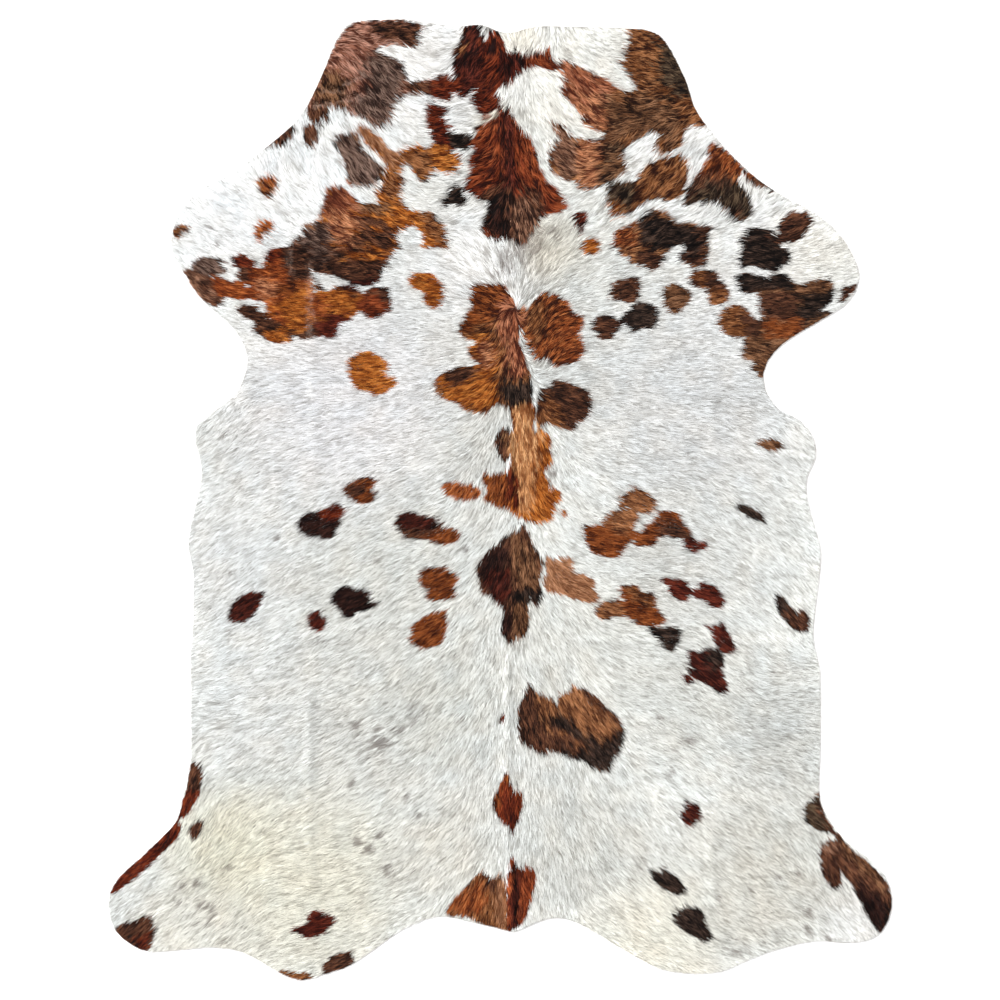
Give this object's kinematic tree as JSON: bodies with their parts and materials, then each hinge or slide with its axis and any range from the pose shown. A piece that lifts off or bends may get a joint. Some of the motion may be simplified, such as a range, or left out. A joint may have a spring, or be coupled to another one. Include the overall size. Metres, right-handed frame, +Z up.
{
  "type": "cowhide rug",
  "caption": "Whole flat cowhide rug with its hair on: one skin with neck, shanks and tail edge, white with brown patches, lying on the floor.",
  "frame": {"origin": "middle of the hide's outline, on the flat underside where it meets the floor", "axes": "+Y along the spine towards the neck, +X towards the hide's right as seen from above with the neck away, +Z up through the coat"},
  "size_m": [1.8006, 2.2066, 0.012],
  "materials": {
    "hair_on_hide": "natural hair, soft satin sheen, white with brown and black patches; pale suede underneath"
  },
  "bodies": {
    "root": {"hide": "hair_on_hide"}
  },
  "joints": []
}
